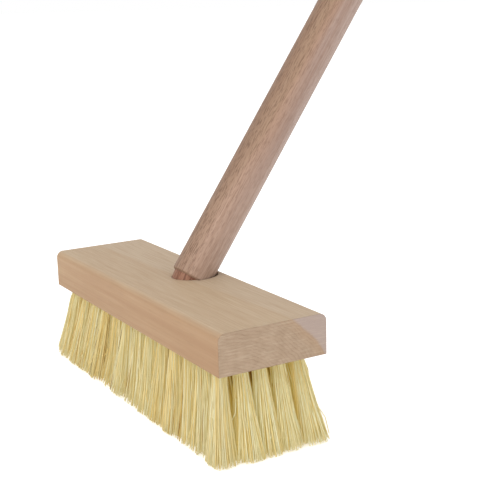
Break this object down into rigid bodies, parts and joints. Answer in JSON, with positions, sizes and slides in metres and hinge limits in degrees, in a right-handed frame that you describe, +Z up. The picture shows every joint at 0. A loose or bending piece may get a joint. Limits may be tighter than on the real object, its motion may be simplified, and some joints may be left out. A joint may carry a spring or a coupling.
{
  "type": "push broom",
  "caption": "Push broom: rectangular wood block with rows of pale natural fibre tufts below and a round wood handle leaning out of an angled socket in its top.",
  "frame": {"origin": "on the floor under the middle of the block, at the tips of the middle tuft", "axes": "+X along the block, +Y towards the side the handle leans to, +Z up"},
  "size_m": [0.2582, 0.7489, 1.078],
  "materials": {
    "block_wood": "bare sanded pale hardwood",
    "handle_wood": "bare sanded reddish hardwood with short dark pores",
    "fibre": "pale straw natural fibre, trimmed flat",
    "staple_wire": "flat drawn wire"
  },
  "bodies": {
    "head": {"block": "block_wood", "tufts_01": "fibre", "tufts_02": "fibre", "tufts_03": "fibre", "tufts_04": "fibre", "tufts_05": "fibre", "tufts_06": "fibre", "tufts_07": "fibre", "tufts_08": "fibre", "tufts_09": "fibre", "tufts_10": "fibre", "tufts_11": "fibre", "tufts_12": "fibre", "tufts_13": "fibre", "staples_01": "staple_wire", "staples_02": "staple_wire", "staples_03": "staple_wire", "staples_04": "staple_wire", "staples_05": "staple_wire", "staples_06": "staple_wire", "staples_07": "staple_wire", "staples_08": "staple_wire", "staples_09": "staple_wire", "staples_10": "staple_wire", "staples_11": "staple_wire", "staples_12": "staple_wire", "staples_13": "staple_wire"},
    "handle": {"handle": "handle_wood"}
  },
  "joints": [
    {"name": "handle_pull", "type": "slide", "parent": "head", "child": "handle", "axis": [0, 0.5707, 0.8211], "range_m": [0, 0.06]}
  ]
}
